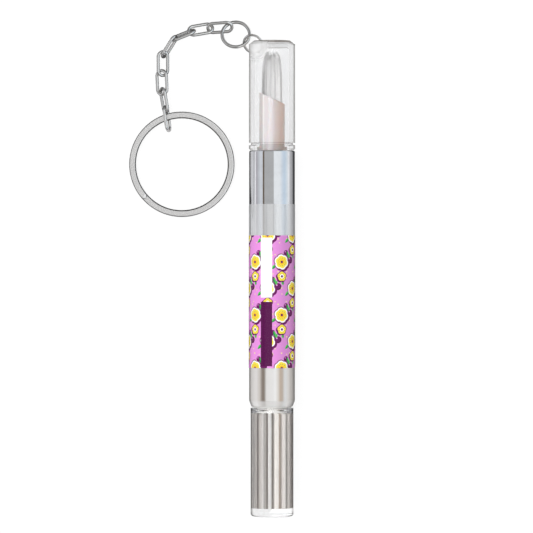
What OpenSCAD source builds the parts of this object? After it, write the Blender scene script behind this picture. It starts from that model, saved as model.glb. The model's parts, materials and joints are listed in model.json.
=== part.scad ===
// Twist-up nail oil pen with a brush, a clear cap and a keychain on the cap.
// The pen lies along +Y with the centre of its knob's end face at the origin, as it rests on a table.
// Sizes are in millimetres. Pen pieces are drawn upright, from the knob's end, and then laid down.

/* [Barrel] */
// Outer diameter of the barrel and the collar
barrel_d = 12.1; // [11.8:0.1:12.8]
// Bore of the oil chamber
bore_d = 8.8; // [8.4:0.1:9.0]
// Length of the collar
collar_len = 23.4; // [20:0.2:26]
// Thickness of the printed film round the barrel
film_wall = 0.1; // [0.06:0.02:0.2]
// Length of the barrel's end that the film leaves bare
film_rise = 10.2; // [8:0.2:14]
// Length of the collar that the film covers
film_lap = 9.2; // [6:0.2:14]

/* [Knob] */
// Outer diameter of the knob
knob_d = 11.3; // [11:0.1:12]
// Length of the knob
knob_len = 28.8; // [27.4:0.2:31]
// Thickness of the knob's closed end
knob_base = 2.2; // [1.4:0.1:3]
// Diameter inside the knob, over the crests between its flutes
knob_bore_d = 8.2; // [8.1:0.1:8.5]
// Number of flutes inside the knob
flute_count = 16; // [12:2:20]
// Radius of one flute
flute_r = 0.62; // [0.4:0.02:0.7]

/* [Screw and piston] */
// Outer diameter of the screw rod
rod_d = 4.2; // [3.2:0.1:4.2]
// Width across the rod's two flats
rod_flats = 3.1; // [2.4:0.1:3.1]
// Length of the piston
piston_len = 8; // [7:0.5:10]
// Room between the drive nut and the piston when the chamber is full
park_room = 6.5; // [4:0.5:10]
// Number of ratchet teeth
tooth_count = 12; // [8:1:16]

/* [Tip] */
// Outer diameter of the nozzle's tube
tip_d = 6.8; // [6.4:0.1:7.2]
// Inner diameter of the nozzle's tube
tip_bore_d = 5.8; // [5.2:0.1:6]
// Height of the middle of the slanted mouth above the collar
mouth_rise = 13.75; // [11:0.25:16]
// Slant of the mouth
mouth_slant = 24.7; // [0:0.1:35]
// Gap between the longest bristle and the cap's roof
brush_gap = 0.6; // [0.4:0.1:5]
// Number of bristles
strand_count = 300; // [300:10:340]
// Diameter of a bristle at its root
strand_d = 0.2; // [0.14:0.01:0.22]

/* [Cap] */
// Length of the cap above the collar
cap_len = 29.05; // [26:0.05:36]
// Outer diameter of the cap
cap_d = 12.2; // [12:0.1:12.8]
// Diameter of the space inside the cap
cap_bore_d = 9; // [8.8:0.1:9.4]
// Length of the spigot that enters the collar
spigot_len = 6; // [4:0.5:7]
// Diameter of the hole for the keychain
lanyard_d = 1.9; // [1.7:0.1:2.1]

/* [Keychain] */
// Wire of the small jump ring
small_wire = 0.65; // [0.55:0.05:0.7]
// Outer diameter of the small jump ring
small_ring_d = 5.65; // [5.4:0.05:6.2]
// Wire of the large jump ring
large_wire = 0.85; // [0.7:0.05:0.9]
// Outer diameter of the large jump ring
large_ring_d = 8.2; // [8:0.1:9]
// Wire of a chain link
link_wire = 0.8; // [0.6:0.05:0.8]
// Outer length of a chain link
link_len = 7.2; // [7:0.1:8]
// Outer width of a chain link
link_w = 3.5; // [3.4:0.1:4]
// Outer diameter of the split ring
split_d = 28; // [26:0.5:30]
// Width of the split ring's flat wire
split_w = 1.8; // [1.4:0.1:2]
// Thickness of one coil of the split ring
split_coil = 0.72; // [0.5:0.02:0.74]

/* [Hidden] */
$fn = 64;
over = 1;
running = 0.05;
seat = 0.05;
press = 0.02;

// Radii that the pieces share
barrel_r = barrel_d / 2;
bore_r = bore_d / 2;
film_r = barrel_r + film_wall;
floor_z = -film_r;
knob_r = knob_d / 2;
knob_bore_r = knob_bore_d / 2;
cap_r = cap_d / 2;
cap_bore_r = cap_bore_d / 2;
tip_r = tip_d / 2;
tip_bore_r = tip_bore_d / 2;
rod_r = rod_d / 2;

// Knob: a rounded end, a plain rim above the flutes, and a snap bead inside the rim
knob_round = 0.8;
rim_len = 1.3;
flute_shift = 0.06;
bead_h = 0.5;
bead_depth = 0.2;
bead_height = knob_len - rim_len / 2;
flute_top = knob_len - rim_len;
flute_pitch_r = knob_bore_r + flute_shift;

// Drive nut: sleeve and threaded hub in the barrel, flange at the joint, ratchet neck in the knob
parting_gap = 0.1;
flange_len = 0.3;
flange_inset = 0.3;
nut_sleeve_len = 6.3;
nut_sleeve_wall = 1;
nut_hub_len = 3;
nut_neck_len = 4.4;
nut_neck_gap = 0.1;
nut_neck_r = knob_bore_r - nut_neck_gap;
groove_room = 0.1;
flange_start = knob_len + parting_gap;
nut_neck_start = flange_start - nut_neck_len;
tooth_len = 2.8;
tooth_wall = 0.4;
tooth_depth = 0.35;
tooth_root_r = nut_neck_r - tooth_wall;
tooth_tip_r = tooth_root_r - tooth_depth;
tooth_rise_share = 0.94;

// Barrel: a tapered end against the nut's flange, and a thinner neck inside the collar
barrel_start = flange_start + flange_len;
nut_top = barrel_start + nut_sleeve_len;
barrel_end_step = 0.15;
barrel_end_r = knob_r - barrel_end_step;
taper_len = 1.5;
neck_wall = 0.85;
neck_r = bore_r + neck_wall;

// Ratchet driver: a splined flange in the knob, and spring pawls inside the nut's teeth
driver_base = 2.2;
driver_gap = 0.3;
driver_head_len = 2.7;
driver_wall = 0.45;
spline_gap = 0.08;
pawl_w = 0.45;
pawl_gap = 0.12;
pawl_sweep = 80;
pawl_root_sweep = 18;
pawl_count = 3;
driver_start = nut_neck_start - driver_gap - driver_base;
driver_top = nut_neck_start + driver_head_len - driver_gap;
driver_head_r = rod_r + driver_wall;
pawl_r = tooth_tip_r - pawl_gap;

// Screw rod: full back, it ends above the knob's base, and at the end of its travel it is still in the key
tail_gap = 0.7;
key_grip = 1.6;
rod_chamfer = 0.4;
button_step = 0.5;
button_undercut = 0.35;
button_len = 1.2;
button_neck_len = 1;
rod_start = knob_base + tail_gap;
travel = driver_top - key_grip - rod_start;
piston_start = nut_top + park_room;
rod_len = piston_start - rod_start;
button_r = rod_r - button_step;
button_neck_r = button_r - button_undercut;

// Piston: two lips that wipe the bore, and a socket for the rod's button
end_gap = 0.6;
lip_len = 1.2;
lip_gap = 0.04;
lip_taper = 0.4;
skirt_gap = 0.3;
piston_wall = 0.8;
socket_gap = 0.08;
lip_r = bore_r - lip_gap;
piston_r = bore_r - skirt_gap;

// Nozzle: plug in the barrel, flange on its neck, stem, and slanted tube
plug_len = 15;
nozzle_flange_len = 1;
spigot_room = 1.95;
stem_step = 0.6;
stem_rise = 0.95;
tip_floor_step = 0.6;
channel_r = 0.6;
seal_section = 1;
seal_groove_w = 1.2;
seal_rise = 5;
plug_start = piston_start + piston_len + travel + end_gap;
neck_top = plug_start + plug_len;
cap_start = neck_top + nozzle_flange_len + spigot_room + spigot_len;
plug_r = bore_r - press;
stem_r = tip_r + stem_step;
stem_top = cap_start + stem_rise;
tip_floor = stem_top + tip_floor_step;
mouth_height = cap_start + mouth_rise;
seal_height = plug_start + seal_rise;
seal_groove_r = plug_r - seal_section;

// Collar over the neck, up to the cap
collar_gap = 0.05;
collar_round = 0.4;
collar_top = cap_start - seat;
collar_start = collar_top - collar_len;
collar_bore_r = neck_r + collar_gap;
film_start = barrel_start + film_rise;
film_len = collar_start + film_lap - film_start;

// Feed tube, bush and brush
tube_r = 0.8;
tube_bore_r = 0.45;
tube_sink = 2;
tube_rise = 3;
bush_len = 5.5;
slice_len = 1;
brush_wall_gap = 0.18;
brush_tube_gap = 0.35;
brush_tip_r = 1.55;
strand_r = strand_d / 2;
strand_sides = 3;
strand_tip_share = 0.42;
// Height up the tuft and how far the strands have drawn in there, from the backing to the tip
strand_draw_shares = [[0, 0], [0.75, 0.18], [1, 1]];
ragged_share = 0.1;
golden_angle = 137.508;
tube_start = neck_top + tube_sink;
bush_r = tip_bore_r - press;
slice_start = tip_floor + bush_len;
tube_top = slice_start + slice_len + tube_rise;
brush_root_r = tip_bore_r - brush_wall_gap;
brush_hole_r = tube_r + brush_tube_gap;

// Cap: spigot, groove round the mouth, chamfered top, and an oblique hole through a boss in its corner
cap_chamfer_w = 1.2;
cap_chamfer_h = 1;
cap_groove_rise = 1.35;
cap_groove_h = 0.7;
cap_groove_depth = 0.55;
cap_lip = 0.45;
cap_roof = 1.8;
cap_corner = 0.5;
spigot_gap = 0.08;
lanyard_in = 1.35;
lanyard_drop = 1.8;
lanyard_below = 45;
lanyard_slope = 44;
lanyard_slack = 0.45;
lanyard_wall = 0.6;
spigot_start = cap_start - spigot_len;
pen_len = cap_start + cap_len;
roof_start = pen_len - cap_roof;
tuft_len = roof_start - brush_gap - slice_start;
spigot_r = collar_bore_r - spigot_gap;

// Wires of the keychain
small_w = small_wire / 2;
large_w = large_wire / 2;
link_wr = link_wire / 2;
small_r = small_ring_d / 2 - small_w;
large_r = large_ring_d / 2 - large_w;
crown_r = link_w / 2 - link_wr;
link_half = link_len / 2 - link_w / 2;
ring_slit = 0.06;
link_count = 8;

// The lie on the table, from the cap outwards. Each row: the step to this piece as a share of the
// distance at which the wires would pull taut, the step's heading, then the piece's heading, tip and roll.
LIE_SHARES = [
  [0.96, 151, 150, 13, 20],
  [0.77, 156, 184, 1, -29],
  [0.92, 186, 190, -6, 26],
  [0.87, 198, 202, 0, 69],
  [0.86, 220, 238, 8, -70],
  [0.85, 249, 270, 11, -23],
  [0.90, 267, 273, -8, 22],
  [0.86, 277, 280, -1, 65],
  [0.88, 279, 278, -1, 109]
];

// Split ring: one flat wire in two coils, lifted a little where the last link passes under it
coil_gap = 0.04;
split_r = split_d / 2;
split_step_share = 0.85;
split_heading = 288;
split_tilt = 2.1;
ramp_start = 330;
ramp_sweep = 25;
ramp_clear = 5;
ramp_heading = 150;
sweep_step = 5;
coil_rise = split_coil + coil_gap;
split_thick = split_coil + coil_rise;

// Places along the keychain
function unit(heading) = [cos(heading), sin(heading), 0];
function wire_of(i) = i == 0 ? large_w : link_wr;
function crown_of(i) = i == 0 ? large_r : crown_r;
function half_of(i) = i == 0 ? 0 : link_half;
function reach_of(i) = i < 0 ? small_r - small_w : crown_of(i) + half_of(i) - wire_of(i);
function level_of(i) =
  let (tip = LIE_SHARES[i][3], roll = LIE_SHARES[i][4], up = cos(tip) * cos(roll))
  floor_z + wire_of(i) + half_of(i) * abs(sin(tip)) + crown_of(i) * sqrt(1 - up * up);
function step_of(i) = LIE_SHARES[i][0] * (reach_of(i - 1) + reach_of(i));
function flat_place(i) =
  i < 0 ? [small_place[0], small_place[1], 0] : flat_place(i - 1) + step_of(i) * unit(LIE_SHARES[i][1]);
function place_of(i) = flat_place(i) + [0, 0, level_of(i)];

// The hole's middle, its line, and the small ring that hangs in it
hole_out = cap_r - lanyard_in;
hole_place = [-hole_out * cos(lanyard_below), pen_len - lanyard_drop, -hole_out * sin(lanyard_below)];
hole_line = [
  -sin(lanyard_slope) * cos(lanyard_below),
  -cos(lanyard_slope),
  -sin(lanyard_slope) * sin(lanyard_below)
];
small_heading = atan2(-hole_line[0], hole_line[1]);
small_roll = asin(hole_line[2]);
small_place = hole_place + (small_r - lanyard_slack) * unit(small_heading);

// The split ring's middle
split_reach = split_r - split_w;
split_step = split_step_share * (reach_of(link_count) + split_reach);
split_flat = flat_place(link_count) + split_step * unit(split_heading);
split_level = floor_z + split_thick / 2 * cos(split_tilt) + split_r * sin(split_tilt);

// Lays an upright piece of the pen along +Y
module lay_down() {
  rotate([-90, 0, 0])
    children();
}

// A tube with square ends
module tube(outer, inner, start, length) {
  translate([0, 0, start])
    difference() {
      cylinder(r = outer, h = length);
      translate([0, 0, -over])
        cylinder(r = inner, h = length + 2 * over);
    }
}

// Half outline of a rod whose lower outer edge is rounded
module round_edge_outline(radius, length, round) {
  square([radius - round, length]);
  translate([0, round])
    square([radius, length - round]);
  translate([radius - round, round])
    circle(r = round);
}

module knob() {
  color("gainsboro", 0.5)
    lay_down() {
      difference() {
        rotate_extrude()
          round_edge_outline(knob_r, knob_len, knob_round);
        translate([0, 0, knob_base])
          cylinder(r = knob_bore_r, h = knob_len);
        for (i = [0 : flute_count - 1])
          rotate(i * 360 / flute_count)
            translate([flute_pitch_r, 0, knob_base])
              flute();
      }
      snap_bead();
    }
}

// One round-nosed flute
module flute() {
  length = flute_top - knob_base;
  rotate_extrude()
    intersection() {
      union() {
        square([flute_r, length - flute_r]);
        translate([0, length - flute_r])
          circle(r = flute_r);
      }
      square([flute_r, length]);
    }
}

// Bead inside the knob's rim, which runs in the nut's groove
module snap_bead() {
  rotate_extrude()
    polygon([
      [knob_bore_r + press, bead_height - bead_h / 2],
      [knob_bore_r - bead_depth, bead_height],
      [knob_bore_r + press, bead_height + bead_h / 2]
    ]);
}

module drive_nut() {
  color("white", 0.9)
    lay_down()
      difference() {
        rotate_extrude()
          nut_outline();
        translate([0, 0, nut_neck_start - over])
          linear_extrude(tooth_len + over)
            ratchet_outline();
      }
}

// Half outline of the nut: neck with the bead's groove, flange, sleeve and threaded hub
module nut_outline() {
  hole_r = rod_r + running;
  flange_r = barrel_end_r - flange_inset;
  sleeve_r = bore_r - press;
  hub_top = barrel_start + nut_hub_len;
  polygon([
    [hole_r, nut_neck_start],
    [nut_neck_r, nut_neck_start],
    [nut_neck_r, bead_height - bead_h],
    [nut_neck_r - bead_depth - groove_room, bead_height],
    [nut_neck_r, bead_height + bead_h],
    [nut_neck_r, flange_start],
    [flange_r, flange_start],
    [flange_r, barrel_start],
    [sleeve_r, barrel_start],
    [sleeve_r, nut_top],
    [bore_r - nut_sleeve_wall, nut_top],
    [bore_r - nut_sleeve_wall, hub_top],
    [hole_r, hub_top]
  ]);
}

// Saw teeth round a hole: a slow rise and then a drop
module ratchet_outline() {
  tooth = 360 / tooth_count;
  polygon([
    for (i = [0 : tooth_count - 1])
      for (part = [0, 0.5, 1])
        let (angle = (i + tooth_rise_share * part) * tooth)
        (tooth_tip_r + tooth_depth * part) * [cos(angle), sin(angle)]
  ]);
}

module ratchet_driver() {
  color("whitesmoke")
    lay_down()
      difference() {
        union() {
          translate([0, 0, driver_start]) {
            cylinder(r = knob_bore_r - spline_gap, h = driver_base);
            for (i = [0 : flute_count - 1])
              rotate(i * 360 / flute_count)
                translate([flute_pitch_r, 0, 0])
                  cylinder(r = flute_r - spline_gap, h = driver_base);
            cylinder(r = driver_head_r, h = driver_top - driver_start);
          }
          for (i = [0 : pawl_count - 1])
            rotate(i * 360 / pawl_count)
              pawl();
        }
        translate([0, 0, driver_start - over])
          linear_extrude(driver_top - driver_start + 2 * over)
            rod_outline(running);
      }
}

// A spring arm that bends round the driver's head and ends just inside the teeth
module pawl() {
  height = driver_top - nut_neck_start;
  translate([0, 0, nut_neck_start]) {
    rotate_extrude(angle = pawl_sweep)
      translate([pawl_r - pawl_w, 0])
        square([pawl_w, height]);
    rotate_extrude(angle = pawl_root_sweep)
      translate([driver_head_r - press, 0])
        square([pawl_r - driver_head_r + press, height]);
  }
}

// Section of the rod: a circle with two flats
module rod_outline(clear) {
  intersection() {
    circle(r = rod_r + clear);
    square([2 * (rod_r + clear + over), rod_flats + 2 * clear], center = true);
  }
}

module screw_rod() {
  button_start = piston_start + button_neck_len;
  color("white")
    lay_down() {
      intersection() {
        translate([0, 0, rod_start])
          linear_extrude(rod_len)
            rod_outline(0);
        rotate_extrude()
          polygon([
            [0, rod_start],
            [rod_r - rod_chamfer, rod_start],
            [rod_r + over, rod_start + rod_chamfer + over],
            [rod_r + over, piston_start],
            [0, piston_start]
          ]);
      }
      translate([0, 0, piston_start - press])
        cylinder(r = button_neck_r, h = button_neck_len + 2 * press);
      translate([0, 0, button_start])
        cylinder(r1 = button_r, r2 = button_neck_r, h = button_len);
    }
}

module piston() {
  color("white")
    lay_down()
      translate([0, 0, piston_start])
        difference() {
          rotate_extrude()
            polygon([
              [0, socket_gap],
              [lip_r, socket_gap],
              [lip_r, lip_len],
              [piston_r, lip_len + lip_taper],
              [piston_r, piston_len - lip_len - lip_taper],
              [lip_r, piston_len - lip_len],
              [lip_r, piston_len],
              [lip_r - lip_taper, piston_len],
              [piston_r - piston_wall, piston_len - lip_len],
              [0, piston_len - lip_len]
            ]);
          translate([0, 0, -over])
            cylinder(r = button_neck_r + socket_gap, h = button_neck_len + over);
          translate([0, 0, button_neck_len - socket_gap])
            cylinder(r = button_r + socket_gap, h = button_len + 2 * socket_gap);
        }
}

module barrel() {
  color("ghostwhite", 0.5)
    lay_down()
      rotate_extrude()
        polygon([
          [bore_r, barrel_start],
          [barrel_end_r, barrel_start],
          [barrel_r, barrel_start + taper_len],
          [barrel_r, collar_start],
          [neck_r, collar_start],
          [neck_r, neck_top],
          [bore_r, neck_top]
        ]);
}

module label() {
  color("orchid")
    lay_down()
      tube(film_r, barrel_r, film_start, film_len);
}

module collar() {
  color("silver")
    lay_down()
      rotate_extrude()
        difference() {
          union() {
            translate([0, collar_start])
              square([barrel_r, collar_len - collar_round]);
            translate([0, collar_start])
              square([barrel_r - collar_round, collar_len]);
            translate([barrel_r - collar_round, collar_top - collar_round])
              circle(r = collar_round);
          }
          translate([-over, collar_start - over])
            square([collar_bore_r + over, collar_len + 2 * over]);
        }
}

module nozzle() {
  color("mistyrose", 0.7)
    lay_down()
      difference() {
        rotate_extrude()
          nozzle_outline();
        translate([0, 0, mouth_height])
          rotate([0, mouth_slant, 0])
            translate([-pen_len, -pen_len, 0])
              cube([2 * pen_len, 2 * pen_len, pen_len]);
      }
}

// Half outline of the nozzle: plug with the seal's groove, flange, stem and tube. The slanted cut then
// leaves the tube higher on the keychain's side.
module nozzle_outline() {
  polygon([
    [channel_r, plug_start],
    [plug_r, plug_start],
    [plug_r, seal_height - seal_groove_w / 2],
    [seal_groove_r, seal_height - seal_groove_w / 2],
    [seal_groove_r, seal_height + seal_groove_w / 2],
    [plug_r, seal_height + seal_groove_w / 2],
    [plug_r, neck_top],
    [neck_r, neck_top],
    [neck_r, neck_top + nozzle_flange_len],
    [stem_r, neck_top + nozzle_flange_len],
    [stem_r, stem_top],
    [tip_r, stem_top],
    [tip_r, pen_len],
    [tip_bore_r, pen_len],
    [tip_bore_r, tip_floor],
    [tube_r + press, tip_floor],
    [tube_r + press, tube_start],
    [channel_r, tube_start]
  ]);
}

module plug_seal() {
  color("dimgray")
    lay_down()
      translate([0, 0, seal_height])
        rotate_extrude()
          translate([plug_r - seal_section / 2, 0])
            circle(d = seal_section - 2 * press);
}

module feed_tube() {
  color("silver")
    lay_down()
      tube(tube_r, tube_bore_r, tube_start, tube_top - tube_start);
}

module brush_bush() {
  color("white")
    lay_down()
      tube(bush_r, tube_r + press, tip_floor, bush_len);
}

// Bristles on a sunflower spiral. Each keeps its bearing and all draw in alike with height, so none cross.
module brush_tuft() {
  color("lightgray")
    lay_down()
      translate([0, 0, slice_start])
        resize([0, 0, tuft_len])
          union() {
            tube(bush_r, tube_r + 2 * press, 0, slice_len);
            for (i = [0 : strand_count - 1])
              strand(i);
          }
}

// Radius of strand i where the spiral runs from the inner to the outer radius
function spread(inner, outer, i) =
  sqrt(inner * inner + (outer * outer - inner * inner) * (i + 0.5) / strand_count);

// Length of strand i as a share of the longest
function ragged(i) = 1 - ragged_share * pow(sin(i * i * 7), 2);

module strand(i) {
  root = spread(brush_hole_r, brush_root_r, i);
  end = spread(0, brush_tip_r, i);
  rises = [slice_len / tuft_len, strand_draw_shares[1][0], ragged(i)];
  last = len(rises) - 1;
  points = [
    for (rise = rises)
      let (
        out = root + (end - root) * lookup(rise, strand_draw_shares),
        thick = strand_r * (1 - (1 - strand_tip_share) * rise)
      )
      for (side = [0 : strand_sides - 1])
        let (turn = 360 * side / strand_sides)
        [out + thick * cos(turn), thick * sin(turn), tuft_len * rise]
  ];
  faces = [
    [for (side = [0 : strand_sides - 1]) side],
    for (k = [0 : last - 1])
      for (side = [0 : strand_sides - 1])
        let (
          low = k * strand_sides,
          next = (side + 1) % strand_sides
        )
        each [
          [low + side, low + strand_sides + side, low + strand_sides + next],
          [low + side, low + strand_sides + next, low + next]
        ],
    [for (side = [strand_sides - 1 : -1 : 0]) last * strand_sides + side]
  ];
  rotate(i * golden_angle)
    polyhedron(points, faces);
}

module cap() {
  color("ghostwhite", 0.4)
    difference() {
      union() {
        lay_down()
          rotate_extrude()
            cap_outline();
        lanyard_boss();
      }
      lanyard_bar(lanyard_d);
    }
}

// Half outline of the cap, from the spigot's mouth up its outside and down its bore
module cap_outline() {
  groove = cap_start + cap_groove_rise;
  polygon([
    [cap_bore_r, spigot_start],
    [spigot_r - seat, spigot_start],
    [spigot_r, spigot_start + cap_lip],
    [spigot_r, cap_start],
    [cap_r - cap_lip, cap_start],
    [cap_r, cap_start + cap_lip],
    [cap_r, groove],
    [cap_r - cap_groove_depth, groove + cap_groove_h / 4],
    [cap_r - cap_groove_depth, groove + cap_groove_h * 3 / 4],
    [cap_r, groove + cap_groove_h],
    [cap_r, pen_len - cap_chamfer_h],
    [cap_r - cap_chamfer_w, pen_len],
    [0, pen_len],
    [0, roof_start],
    [cap_bore_r - cap_corner, roof_start],
    [cap_bore_r, roof_start - cap_corner]
  ]);
}

// A round bar along the keychain's hole
module lanyard_bar(diameter) {
  translate(hole_place)
    along(hole_line)
      cylinder(d = diameter, h = cap_d, center = true);
}

// Boss that keeps the hole apart from the bore, held back a little from the cap's outside
module lanyard_boss() {
  intersection() {
    lay_down()
      rotate_extrude()
        polygon([
          [0, cap_start],
          [cap_r - press, cap_start],
          [cap_r - press, pen_len - cap_chamfer_h],
          [cap_r - press - cap_chamfer_w, pen_len - press],
          [0, pen_len - press]
        ]);
    lanyard_bar(lanyard_d + 2 * lanyard_wall);
  }
}

// Turns +Z to a unit direction
module along(direction) {
  rotate([0, acos(direction[2]), atan2(direction[1], direction[0])])
    children();
}

// A wire ring closed by a butt joint that leaves a fine slit
module jump_ring(radius, wire) {
  slit = 360 * ring_slit / (2 * PI * radius);
  rotate(90 + slit / 2)
    rotate_extrude(angle = 360 - slit)
      translate([radius, 0])
        circle(r = wire);
}

module small_jump_ring() {
  color("silver")
    translate(small_place)
      rotate([small_roll, 0, small_heading])
        jump_ring(small_r, small_w);
}

module large_jump_ring() {
  color("silver")
    lie(0)
      jump_ring(large_r, large_w);
}

// Puts a piece of the keychain where it lies
module lie(i) {
  translate(place_of(i))
    rotate([LIE_SHARES[i][4], LIE_SHARES[i][3], LIE_SHARES[i][2]])
      children();
}

// One welded link: two straight sides and two half rings
module chain_link(i) {
  color("silver")
    lie(i)
      for (side = [0, 180])
        rotate(side) {
          translate([-link_half, crown_r, 0])
            rotate([0, 90, 0])
              cylinder(r = link_wr, h = 2 * link_half);
          translate([link_half, 0, 0])
            rotate(-90)
              rotate_extrude(angle = 180)
                translate([crown_r, 0])
                  circle(r = link_wr);
        }
}

// Height of the flat wire's middle where it has wound through an angle
function wound_height(angle) =
  let (part = min(max((angle - ramp_start) / ramp_sweep, 0), 1))
  coil_rise * (0.5 - 0.5 * cos(180 * part)) - coil_rise / 2;

module split_ring() {
  corners = [[-1, -1], [1, -1], [1, 1], [-1, 1]];
  sides = len(corners);
  last = (360 + ramp_start - ramp_clear) / sweep_step;
  points = [
    for (k = [0 : last])
      let (angle = k * sweep_step, up = wound_height(angle))
      for (corner = corners)
        let (out = split_r - split_w / 2 + corner[0] * split_w / 2)
        [out * cos(angle), out * sin(angle), up + corner[1] * split_coil / 2]
  ];
  faces = [
    [0, 1, 2],
    [0, 2, 3],
    for (k = [0 : last - 1])
      for (side = [0 : sides - 1])
        let (low = sides * k, next = (side + 1) % sides)
        each [
          [low + side, low + sides + side, low + sides + next],
          [low + side, low + sides + next, low + next]
        ],
    [sides * last + 2, sides * last + 1, sides * last],
    [sides * last + 3, sides * last + 2, sides * last]
  ];
  color("silver")
    translate([split_flat[0], split_flat[1], split_level])
      rotate([0, -split_tilt, split_heading + 180])
        rotate(ramp_heading)
          polyhedron(points, faces);
}

cap();
brush_tuft();
brush_bush();
feed_tube();
nozzle();
plug_seal();
collar();
barrel();
label();
piston();
screw_rod();
drive_nut();
ratchet_driver();
knob();
small_jump_ring();
large_jump_ring();
chain_link(1);  // chain_link_1
chain_link(2);  // chain_link_2
chain_link(3);  // chain_link_3
chain_link(4);  // chain_link_4
chain_link(5);  // chain_link_5
chain_link(6);  // chain_link_6
chain_link(7);  // chain_link_7
chain_link(8);  // chain_link_8
split_ring();
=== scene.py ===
import json
import math
import random

import bpy
from mathutils import Euler, Matrix, Vector

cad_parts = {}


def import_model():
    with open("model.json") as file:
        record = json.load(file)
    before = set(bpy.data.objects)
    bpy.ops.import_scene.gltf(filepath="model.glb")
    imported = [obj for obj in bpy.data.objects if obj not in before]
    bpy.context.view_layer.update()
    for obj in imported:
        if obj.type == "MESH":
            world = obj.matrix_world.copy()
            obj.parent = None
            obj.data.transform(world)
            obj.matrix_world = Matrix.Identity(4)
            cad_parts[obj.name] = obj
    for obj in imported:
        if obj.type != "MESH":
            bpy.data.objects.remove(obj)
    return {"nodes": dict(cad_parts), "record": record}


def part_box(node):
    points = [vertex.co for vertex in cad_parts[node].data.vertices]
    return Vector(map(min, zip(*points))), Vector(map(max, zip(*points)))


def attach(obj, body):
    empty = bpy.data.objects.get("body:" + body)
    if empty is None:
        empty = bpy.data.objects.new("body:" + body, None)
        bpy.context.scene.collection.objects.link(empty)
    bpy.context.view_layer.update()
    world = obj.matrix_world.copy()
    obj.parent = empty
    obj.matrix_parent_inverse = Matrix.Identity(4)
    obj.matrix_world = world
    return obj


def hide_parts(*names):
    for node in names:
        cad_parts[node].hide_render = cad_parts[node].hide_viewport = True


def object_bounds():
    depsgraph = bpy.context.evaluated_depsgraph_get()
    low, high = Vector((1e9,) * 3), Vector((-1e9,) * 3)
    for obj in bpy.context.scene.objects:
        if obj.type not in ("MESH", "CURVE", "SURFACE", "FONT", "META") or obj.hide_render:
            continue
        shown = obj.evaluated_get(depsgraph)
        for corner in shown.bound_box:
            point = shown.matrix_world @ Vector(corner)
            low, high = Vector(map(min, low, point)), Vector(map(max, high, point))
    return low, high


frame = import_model()
CAD_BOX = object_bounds()

MM = 0.001
TAU = 2 * math.pi


# Colours

def linear(r, g, b):
    """A colour written in display values from 0 to 255, as the linear colour that a shader takes."""
    def one(c):
        c /= 255
        return c / 12.92 if c <= 0.04045 else ((c + 0.055) / 1.055) ** 2.4
    return (one(r), one(g), one(b), 1)


def scaled(colour, share):
    """A linear colour times a share."""
    return [c * share for c in colour[:3]] + [1]


def stops(bands, period):
    """A ramp's stops over one period, from bands of (degrees from its middle, display colour)."""
    return [((degrees + period / 2) / period, linear(*colour)) for degrees, colour in bands]


BRIGHT = (1, 1, 1, 1)
MID_GREY = (0.5, 0.5, 0.5, 1)
CLEAR = (0.99, 0.992, 0.994, 1)
LOST_COLOUR = (0.1, 0.1, 0.12, 1)
SHOULDER_PAINTED_REFLECTION = (0.96, 0.95, 0.94, 1)
PLATING = (0.98, 0.985, 0.995, 1)
RIM_GREY = (0.62, 0.61, 0.6, 1)
ROOF_PAINTED_SHADE_LINE = (0.38, 0.355, 0.335, 1)
DARK_EDGE = (0.14, 0.135, 0.13, 1)
FOOT_SHADE = (0.2, 0.18, 0.17, 1)
ORCHID, ORCHID_SHADE = linear(232, 146, 224), linear(214, 140, 208)
PLUM, PLUM_DEEP = linear(104, 14, 90), linear(84, 4, 72)
WHITE = linear(252, 250, 252)
YELLOW, AMBER = linear(250, 230, 70), linear(248, 196, 44)
GREEN, GREEN_DEEP = linear(84, 196, 84), linear(30, 140, 66)
SPECK = linear(240, 226, 150)

# Painted reflection bands on the barrel's pearl, by the angle from straight up towards +X
PEARL_PAINTED_REFLECTIONS = (
    (-180, (236, 233, 230)), (-140, (214, 206, 198)), (-110, (238, 235, 232)), (-80, (212, 207, 202)),
    (-60, (226, 222, 218)), (-42, (238, 235, 232)), (-33, (216, 208, 200)), (-26, (142, 130, 120)),
    (-20, (150, 140, 130)), (-14, (234, 232, 230)), (8, (244, 243, 242)), (16, (222, 214, 206)),
    (21, (196, 178, 160)), (27, (200, 184, 168)), (34, (240, 237, 234)), (52, (228, 222, 216)),
    (80, (212, 207, 202)), (112, (238, 235, 232)), (150, (204, 192, 180)), (180, (236, 233, 230)),
)
# Painted reflections, and painted shade in the creases, as tones of the flutes' wall over half a turn, which
# the other half repeats
FLUTE_PAINTED_REFLECTIONS_AND_SHADE = (
    (-90, (196, 191, 187)), (-77, (214, 210, 206)), (-67, (160, 156, 152)), (-59, (182, 177, 172)),
    (-50.5, (120, 113, 107)), (-47, (126, 119, 113)), (-42, (172, 167, 162)), (-35, (222, 218, 215)),
    (-30, (250, 249, 248)), (-25, (192, 189, 186)), (-19.5, (166, 162, 158)), (-16.5, (122, 116, 112)),
    (-14, (136, 130, 126)), (-11.5, (252, 251, 250)), (-3.5, (244, 243, 242)), (-0.5, (116, 110, 105)),
    (3.5, (124, 118, 113)), (7.5, (252, 250, 247)), (19, (242, 238, 233)), (21.5, (172, 157, 144)),
    (25, (176, 162, 149)), (29, (212, 203, 194)), (34.5, (240, 235, 231)), (43, (232, 228, 224)),
    (49, (170, 165, 160)), (52, (136, 129, 123)), (56, (232, 228, 224)), (65, (214, 209, 205)),
    (72, (196, 190, 186)), (80, (232, 228, 225)), (90, (196, 191, 187)),
)
# The nozzle's tint with painted shading across it, from its -X side to its +X side, and a painted highlight
# line near 0.165
NOZZLE_TINTS_AND_PAINTED_LIGHT = (
    (0.0, linear(188, 180, 178)), (0.13, linear(190, 183, 182)), (0.165, linear(236, 234, 234)),
    (0.2, linear(210, 205, 206)), (0.3, linear(206, 200, 203)), (0.4, linear(184, 178, 180)),
    (0.46, linear(179, 173, 174)), (0.56, linear(185, 176, 178)), (0.64, linear(182, 171, 168)),
    (1.0, linear(196, 172, 158)),
)
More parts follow.
